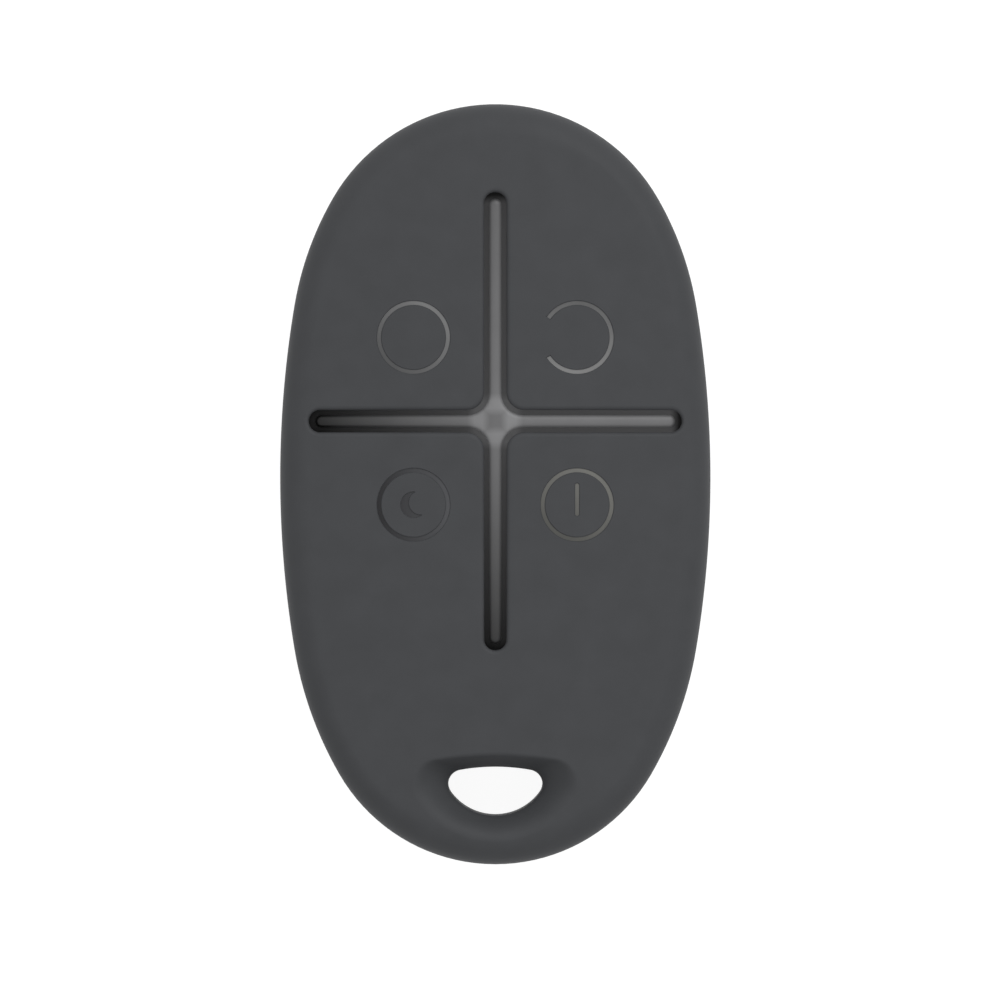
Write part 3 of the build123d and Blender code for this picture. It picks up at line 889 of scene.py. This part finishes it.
def point_in_loop(points, loop):
    """Whether each point lies inside a closed loop."""
    inside = np.zeros(len(points), bool)
    following = np.roll(loop, -1, axis=0)
    for (x1, y1), (x2, y2) in zip(loop, following):
        if y1 == y2:
            continue
        crosses = (points[:, 1] < max(y1, y2)) & (points[:, 1] >= min(y1, y2))
        crosses &= points[:, 0] < x1 + (points[:, 1] - y1) / (y2 - y1) * (x2 - x1)
        inside ^= crosses
    return inside


def add_rim(piece, top, under, middle, turn, lip, lip_top):
    """The rounded edge from the outer face's row, the wall, the lip or its groove, and the inner edge. The
    edge turns about the level middle: upwards on the front, where turn is 1, downwards where it is -1."""
    for angle in reversed(edge_rings):
        cosine, sine = cos_sin(angle)
        loop = outline_loop(edge_radius * (1 - cosine))
        normals = np.column_stack([WAYS * cosine, np.full(len(WAYS), turn * sine)])
        row = piece.add(at_level(loop, middle + turn * edge_radius * sine), normals)
        piece.band(top, row, given=True)
        top = row
    profile = [(0, parting_height + turn * parting_chamfer), (parting_chamfer, parting_height),
               (lip, parting_height), (lip, lip_top), (shell_wall, lip_top)]
    inner_radius = edge_radius - shell_wall
    last = math.degrees(math.acos(edge_radius * math.cos(math.radians(edge_last)) / inner_radius))
    for share in (0, 1 / 3, 2 / 3):
        cosine, sine = cos_sin(last * share)
        profile.append((edge_radius - inner_radius * cosine, middle + turn * inner_radius * sine))
    rows = [at_level(outline_loop(inset), level) for inset, level in profile]
    piece.band(piece.skin(top, rows), under)


# ---- The back face
def back_part():
    """The back shell, with its screws' counterbores and bosses, ribs and the cell's cradle."""
    mouth, block = mouth_edge(), mouth_loop(eyelet_block_growth)
    bore_radius = counterbore_radius + counterbore_chamfer
    loops = [outline_loop(edge_inset), mouth, block]
    for place in screw_places:
        loops += [circle(place, radius, round_count) for radius in (bore_radius, back_boss_radius)]
    loops += [outline_loop(inset) for inset in edge_inner_insets]
    spare = grid_points(lambda points: loop_distance(points, loops[1:]))
    places, triangles, middles, found = divide(loops, [], spare)
    to_screw = screw_distance(middles)
    outer = ~point_in_loop(middles, mouth) & (to_screw > bore_radius)
    inner = ~point_in_loop(middles, block) & (to_screw > back_boss_radius)
    shell = Piece()
    count = int(outer.sum())
    top, under = two_faces(
        shell, places, triangles[outer], triangles[inner], back_level(places, 0.0),
        back_level(places, shell_wall), -face_normals(back_level, places), [0] * count, [True] * count)
    add_rim(shell, top(found[0]), under(found[0]), edge_radius, -1,
            lip_inset + lip_clearance, parting_height + lip_height)
    add_scoop(shell, top(found[1]), back_level, parting_height - eyelet_waist / 2, under(found[2]))
    for place, bore, boss in zip(screw_places, found[3::2], found[4::2]):
        row = shell.skin(top(bore), round_rows(place, [
            (counterbore_radius, counterbore_chamfer),
            (counterbore_radius, screw_seat),
            (back_hole_radius, screw_seat),
            (back_hole_radius, parting_height),
            (back_boss_radius, parting_height),
        ]))
        shell.band(row, under(boss))
    for loop in rib_loops():
        shell.block(loop, root_depth, board_bottom)
    notch = math.degrees(math.asin(cradle_notch_half / (cradle_inner + cradle_outer) * 2))
    for first, last in ((notch, 180 - notch), (180 + notch, 360 - notch)):
        shell.arc_block((0, cell_y), cradle_inner, cradle_outer, first, last, cradle_count,
                        root_depth, cradle_top)
    return shell


# ---- The light guide and the screws
def add_plan(piece, loops, spare, level, chosen):
    """Faces over the plan between loops, where chosen holds at a place. Gives each loop's row."""
    places, triangles, _, found = divide(loops, [], spare)
    inside = triangles[chosen(places[triangles].mean(axis=1))]
    used = np.unique(inside)
    row = dict(zip(used, piece.add(at_level(places[used], level(places[used])))))
    for triangle in inside:
        piece.face([row[p] for p in triangle])
    return [[row[p] for p in loop] for loop in found]


def guide_part():
    """The light guide: its rib with a softly rounded top, flange, feet, pegs and lamp pocket."""
    guide = Piece()
    across, along = [np.arange(guide_spacing - half, half, guide_spacing) for half in guide_sizes[:2]]
    spare = [(x, cross_y) for x in across]
    spare += [(0, cross_y + y) for y in along if abs(y) > guide_spacing / 2]

    def top_level(points):
        return body_thickness - guide_recess - crown_drop(points)

    rim = cross_loop(-guide_rounding, guide_sizes)
    start = add_plan(guide, [rim], spare, top_level, lambda points: point_in_loop(points, rim))[0]
    rows = []
    for angle in guide_edge_angles:
        cosine, sine = cos_sin(angle)
        loop = cross_loop(guide_rounding * (cosine - 1), guide_sizes)
        rows.append(at_level(loop, top_level(loop) - guide_rounding * (1 - sine)))
    flange = cross_loop(guide_flange_growth, guide_sizes)
    rows.append(at_level(cross_loop(0, guide_sizes), guide_flange_top))
    rows += [at_level(flange, guide_flange_top), at_level(flange, guide_flange_bottom)]
    start = guide.skin(start, rows)
    x, y = lamp_pocket_half_across, lamp_pocket_half_along
    pocket = np.array([(x, -y), (x, y), (-x, y), (-x, -y)]) + (0, cross_y)
    outer, inner = add_plan(
        guide, [flange, pocket], spare, lambda points: guide_flange_bottom,
        lambda points: point_in_loop(points, flange) & ~point_in_loop(points, pocket))
    guide.band(start, outer)
    guide.face(guide.skin(inner, [at_level(pocket, lamp_pocket_top)]))
    across, along = [half - guide_foot_from_end for half in guide_sizes[:2]]
    for place in ((0, along), (0, -along), (across, 0), (-across, 0)):
        middle = np.array(place) + (0, cross_y)
        foot = rectangle(guide_foot_half, guide_foot_half) + middle
        guide.block(foot, board_top, guide_flange_bottom + overlap)
        if place[0] == 0:
            guide.block(circle(middle, guide_peg_radius, peg_count), board_bottom, board_top + overlap)
    return guide


def screw_part():
    """Both cover screws, with their cross recesses in the heads and threads drawn as rings."""
    screws = Piece()
    rounding, tip = screw_head_rounding, screw_seat + screw_length
    profile = []
    for angle in screw_edge_angles:
        cosine, sine = cos_sin(angle)
        profile.append((screw_head_radius - rounding * (1 - sine), screw_head_sunk + rounding * (1 - cosine)))
    profile += [(screw_head_radius, screw_seat), (screw_root_radius, screw_seat)]
    level = screw_seat + screw_thread_pitch
    while level + screw_thread_pitch < tip:
        profile += [(screw_root_radius, level), (screw_radius, level + screw_thread_pitch / 2)]
        level += screw_thread_pitch
    profile += [(screw_root_radius, tip - screw_tip_taper), (screw_root_radius / 2, tip)]
    for place in screw_places:
        head = circle(place, screw_head_radius - rounding, round_count)
        mouth = cross_loop(0, recess_sizes, place)
        outer, inner = add_plan(screws, [head, mouth], [], lambda points: screw_head_sunk,
                                lambda points: ~point_in_loop(points, mouth))
        floor = at_level(cross_loop(-recess_taper, recess_sizes, place), screw_head_sunk + recess_depth)
        screws.face(screws.skin(inner, [floor]))
        screws.face(screws.skin(outer, round_rows(place, profile)))
    return screws


def dome_part(name):
    """A switch's bowed snap spring. Gives it and the line along which it flattens under the stem."""
    x, y = icon_centre(name)
    shoulder = dome_bottom + dome_shoulder_share * (dome_top - dome_bottom)
    side = [(dome_length / 2, dome_bottom), (dome_shoulder_length / 2, shoulder),
            (dome_flat_length / 2, dome_top)]
    under = [(across, max(z - dome_thickness, dome_bottom)) for across, z in side]
    under[0] = (dome_length / 2 - dome_thickness, dome_bottom)
    outline = side + [(-across, z) for across, z in side[::-1] + under] + under[::-1]
    dome = Piece()
    rows = [dome.add([(x + across, y + half, z) for across, z in outline])
            for half in (-dome_width / 2, dome_width / 2)]
    dome.band(*rows)
    last = len(outline) - 1
    for row in rows:
        for i in range(last // 2):
            dome.face((row[i], row[i + 1], row[last - i - 1], row[last - i]))
    return dome, [(x * MM, y * MM, level * MM) for level in (dome_bottom, dome_top)]


# ---- Materials
spot_scale = 400.0
spot_edges = (0.3, 0.7)
spot_detail = 4.0
roughness_change = 0.05
least_roughness = 0.02
grain_scale = 2500.0
grain_detail = 3.0
grain_strength = 0.5

# The guide's painted light: its tone at the middle and at its arms' tips, lighter to the top and the right, its
# hub's lighter patches, and the share that glows as a painted glow
guide_tone = 0.172
guide_tone_left = 0.005
guide_tone_right = 0.168
guide_tone_bottom = 0.03
guide_tone_top = 0.13
# Over this length at each arm's tip the tone falls to black: painted shade at the slot's ends.
guide_dark_end = 0.7
guide_hub_inner = 0.45
guide_hub_outer = 1.75
guide_hub_blur = 0.65
guide_hub_rise = 0.084
guide_hub_dip = 0.018
guide_painted_glow = 0.22


def set_inputs(tree, node, values):
    """Sets a node's inputs: sockets are linked, and other values are set."""
    for key, value in values.items():
        if isinstance(value, bpy.types.NodeSocket):
            tree.links.new(value, node.inputs[key])
        else:
            node.inputs[key].default_value = value


def add_node(tree, kind, values, output):
    """A shader node with its inputs set. Gives one of its outputs."""
    node = tree.nodes.new("ShaderNode" + kind)
    set_inputs(tree, node, values)
    return node.outputs[output]


def add_math(tree, operation, *values):
    """A Math node over numbers and sockets. Gives its result."""
    result = tree.nodes.new("ShaderNodeMath")
    result.operation = operation
    set_inputs(tree, result, dict(enumerate(values)))
    return result.outputs[0]


def add_ramp(tree, value, stops):
    """A colour read from stops (position, colour) by a value. Gives its socket."""
    ramp = tree.nodes.new("ShaderNodeValToRGB")
    elements = ramp.color_ramp.elements
    while len(elements) < len(stops):
        elements.new(0.5)
    for element, (position, colour) in zip(elements, stops):
        element.position = position
        element.color = (*colour, 1)
    set_inputs(tree, ramp, {"Fac": value})
    return ramp.outputs["Color"]


def material(name, colour, roughness, metallic=0.0, specular=0.5, spots=0.06, grain=0.0):
    """A material whose colour and roughness vary a little, with an optional fine grain, in millimetres."""
    result = bpy.data.materials.new(name)
    result.use_nodes = True
    tree = result.node_tree
    where = add_node(tree, "TexCoord", {}, "Object")
    spots_noise = {"Vector": where, "Scale": spot_scale, "Detail": spot_detail}
    spread = add_node(tree, "TexNoise", spots_noise, "Fac")
    tones = [[min(part * (1 + change), 1) for part in colour] for change in (-spots, spots)]
    low, high = max(roughness - roughness_change, least_roughness), min(roughness + roughness_change, 1)
    finish = {
        "Metallic": metallic,
        "Specular IOR Level": specular,
        "Base Color": add_ramp(tree, spread, list(zip(spot_edges, tones))),
        "Roughness": add_node(tree, "MapRange", {"Value": spread, "To Min": low, "To Max": high}, "Result"),
    }
    if grain:
        grain_noise = {"Vector": where, "Scale": grain_scale, "Detail": grain_detail}
        relief = add_node(tree, "TexNoise", grain_noise, "Fac")
        bump = {"Height": relief, "Strength": grain_strength, "Distance": grain * MM}
        finish["Normal"] = add_node(tree, "Bump", bump, "Normal")
    set_inputs(tree, tree.nodes["Principled BSDF"], finish)
    return result


def place_nodes(tree):
    """Sockets with the place on the object, across and along, in millimetres."""
    where = add_node(tree, "TexCoord", {}, "Object")
    return [add_math(tree, "MULTIPLY", add_node(tree, "SeparateXYZ", {"Vector": where}, axis), 1 / MM)
            for axis in "XY"]


def recolour(tree, strength, low, high):
    """Colours a material from low to high by a strength from 0 to 1, under its fine variation.
    Gives the colour without the variation."""
    shader = tree.nodes["Principled BSDF"]
    tone = add_ramp(tree, strength, [(0, low), (1, high)])
    both = tree.nodes.new("ShaderNodeMix")
    both.data_type = "RGBA"
    both.blend_type = "MULTIPLY"
    set_inputs(tree, both, {"Factor": 1.0, "A": tone, "B": shader.inputs["Base Color"].links[0].from_socket})
    set_inputs(tree, shader, {"Base Color": both.outputs["Result"]})
    return tone


def icon_shaded_finish(name, direction, low, high):
    """The paint in an icon's lines, with painted light and shade that make it brighter towards one side."""
    result = material(f"icon_{name}", (0.95, 0.95, 0.95), 0.45, specular=0.3)
    tree = result.node_tree
    x, y = place_nodes(tree)
    centre = icon_centre(name)
    way_x, way_y = [part / (2 * icon_radius) for part in cos_sin(direction)]
    across = add_math(tree, "MULTIPLY_ADD", x, way_x, 0.5 - float(centre[0]) * way_x)
    along = add_math(tree, "MULTIPLY_ADD", y, way_y, -float(centre[1]) * way_y)
    recolour(tree, add_math(tree, "ADD", across, along), low, high)
    return result


def add_levels(tree, value, points):
    """A level read from points (place, level) by a value. Gives its socket."""
    low, high = points[0][0], points[-1][0]
    share = add_math(tree, "MULTIPLY_ADD", value, 1 / (high - low), -low / (high - low))
    return add_ramp(tree, share, [((place - low) / (high - low), [level] * 3) for place, level in points])


def arm_levels(reach, low_tone, high_tone):
    """Levels along two opposite arms: painted light from the middle's tone to each tip's, and painted shade,
    dark, past the tips.
    """
    tip = reach - guide_dark_end / 2
    return [(-tip - guide_dark_end, 0), (-tip, low_tone), (0, guide_tone), (tip, high_tone),
            (tip + guide_dark_end, 0)]


def guide_painted_light_finish():
    """The guide's smoky plastic, with painted light: its colour and a painted glow are lighter towards the top
    and the right, fade to dark past the arms' tips, and are lighter round the hub.
    """
    result = material("guide_plastic", [1 - guide_painted_glow] * 3, 0.4, specular=0.3, spots=0.05)
    tree = result.node_tree
    x, y = place_nodes(tree)
    y = add_math(tree, "SUBTRACT", y, cross_y)
    along = add_levels(tree, y, arm_levels(guide_sizes[1], guide_tone_bottom, guide_tone_top))
    across = add_levels(tree, x, arm_levels(guide_sizes[0], guide_tone_left, guide_tone_right))
    away = add_math(tree, "MAXIMUM", add_math(tree, "ABSOLUTE", x), add_math(tree, "ABSOLUTE", y))
    hub = add_levels(tree, away, [
        (guide_hub_inner, 0), (guide_hub_inner + guide_hub_blur, guide_hub_rise),
        (guide_hub_outer, guide_hub_rise), (guide_hub_outer + guide_hub_blur, guide_hub_dip)])
    tone = add_math(tree, "ADD", add_math(tree, "ADD", along, across), hub)
    tone = add_math(tree, "SUBTRACT", tone, guide_tone + guide_hub_dip)
    tone = recolour(tree, tone, (0, 0, 0), (1, 1, 1.02))
    # The painted light also drives a painted glow, though the guide holds no lamp.
    set_inputs(tree, tree.nodes["Principled BSDF"], {"Emission Color": tone, "Emission Strength": guide_painted_glow})
    return result


shell_plastic = material("shell_plastic", (0.063, 0.0652, 0.0695), 0.6, specular=0.2, spots=0.05, grain=0.012)
# Each icon's direction, in degrees, in which its lines grow brighter, and their darker and lighter tones:
# painted light and shade on the lines' paint.
icon_paints_and_shading = {
    "arm": (45, (0.095, 0.096, 0.098), (0.207, 0.208, 0.21)),
    "disarm": (262, (0.125, 0.126, 0.127), (0.245, 0.245, 0.245)),
    # The night icon's lines are dark: painted shade.
    "night": (5, (0.014, 0.014, 0.016), (0.078, 0.08, 0.086)),
    "panic": (65, (0.093, 0.093, 0.086), (0.185, 0.184, 0.171)),
}
icon_shaded_finishes = {name: icon_shaded_finish(name, *paint) for name, paint in icon_paints_and_shading.items()}
guide_plastic = guide_painted_light_finish()
nickel = material("nickel", (0.72, 0.70, 0.66), 0.28, metallic=1.0)
steel = material("steel", (0.42, 0.42, 0.43), 0.3, metallic=1.0)
package = material("package", (0.02, 0.02, 0.021), 0.45, grain=0.01)
switch_black = material("switch_black", (0.025, 0.025, 0.026), 0.4)

# The finish of each CAD node, by what its name starts with
node_finishes = [
    (guide_plastic, ("light_guide",)),
    (steel, ("case_screws", "switch_dome")),
    (material("board_mask", (0.015, 0.09, 0.035), 0.35), ("circuit_board",)),
    (nickel, ("battery_can", "battery_cap", "battery_clip", "negative_contact", "crystal", "switch_frame")),
    (material("seal", (0.03, 0.03, 0.03), 0.6), ("battery_gasket",)),
    (package, ("control_chip", "radio_chip", "passives")),
    (switch_black, ("switch_base", "switch_stem")),
    (material("copper", (0.75, 0.42, 0.25), 0.3, metallic=1.0), ("antenna",)),
    (material("lamp_green", (0.35, 0.75, 0.4), 0.2), ("led_green",)),
    (material("lamp_red", (0.8, 0.25, 0.2), 0.2), ("led_red",)),
]
for name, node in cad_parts.items():
    for finish, starts in node_finishes:
        if name.startswith(starts):
            node.data.materials.clear()
            node.data.materials.append(finish)

# ---- The pieces
front, areas, posts = front_parts()
front.make("front_shell", "housing", "shell", [shell_plastic], ["front_cover"])
for name, area in areas.items():
    finishes = [shell_plastic, icon_shaded_finishes[name]]
    bend = seam_bend(*quadrants[name])
    area.make(f"{name}_area", f"{name}_flap", "shell", finishes, [f"{name}_button"], bend=bend)
    posts[name].make(f"{name}_post", f"{name}_flap", "shell", [shell_plastic])
    dome, bend = dome_part(name)
    dome.make(f"{name}_dome", f"{name}_stem", "steel", [steel], [f"switch_dome_{name}"], bend=bend)
back_part().make("back_shell", "housing", "shell", [shell_plastic], ["back_cover"])
guide_part().make("cross_guide", "housing", "guide", [guide_plastic], ["light_guide"],
                  sharp=guide_sharp_angle)
screw_part().make("cover_screws", "housing", "steel", [steel], ["case_screws"])

# ---- Floor, light and camera: from here, sizes are in metres
floor_level = -0.02 * MM
floor_half = 3
floor_grey = 0.3
floor_glow = 0.92
sky_light = 0.64
key_size = 0.7
key_power = 3.2
key_place = (0.35, 0.6, 0.7)
camera_lens = 400.0
camera_sensor = 36.0
camera_place = (0.0004, -0.00135, 0.956)


def seen_rays(tree):
    """1 for rays that show the background as it is: straight, mirrored and through glass."""
    path = tree.nodes.new("ShaderNodeLightPath").outputs
    seen = add_math(tree, "MAXIMUM", path["Is Camera Ray"], path["Is Glossy Ray"])
    return add_math(tree, "MAXIMUM", seen, path["Is Transmission Ray"])


floor_mesh = bpy.data.meshes.new("floor")
corners = [(x, y, floor_level) for x, y in rectangle(floor_half, floor_half).tolist()]
floor_mesh.from_pydata(corners, [], [(0, 1, 2, 3)])
floor = add_object("floor", floor_mesh)
pale = bpy.data.materials.new("pale_floor")
pale.use_nodes = True
tree = pale.node_tree
tree.nodes.remove(tree.nodes["Principled BSDF"])
cloth = add_node(tree, "BsdfDiffuse", {"Color": (floor_grey, floor_grey, floor_grey, 1)}, 0)
glow = add_node(tree, "Emission", {"Strength": add_math(tree, "MULTIPLY", seen_rays(tree), floor_glow)}, 0)
both = add_node(tree, "AddShader", {0: cloth, 1: glow}, 0)
set_inputs(tree, tree.nodes["Material Output"], {"Surface": both})
floor_mesh.materials.append(pale)

world = bpy.data.worlds.new("studio")
bpy.context.scene.world = world
world.use_nodes = True
tree = world.node_tree
strength = {"Value": seen_rays(tree), "To Min": sky_light, "To Max": 1.0}
sky = {"Color": (1.0, 1.0, 1.0, 1), "Strength": add_node(tree, "MapRange", strength, "Result")}
set_inputs(tree, tree.nodes["Background"], sky)

key_data = bpy.data.lights.new("key", "AREA")
key_data.shape = "DISK"
key_data.size = key_size
key_data.energy = key_power
key = add_object("key", key_data)
key.location = key_place
key.rotation_euler = (-key.location).to_track_quat("-Z", "Y").to_euler()

camera_data = bpy.data.cameras.new("camera")
camera_data.lens = camera_lens
camera_data.sensor_width = camera_sensor
camera = add_object("camera", camera_data)
camera.location = camera_place
bpy.context.scene.camera = camera
bpy.context.scene.view_settings.view_transform = "Standard"
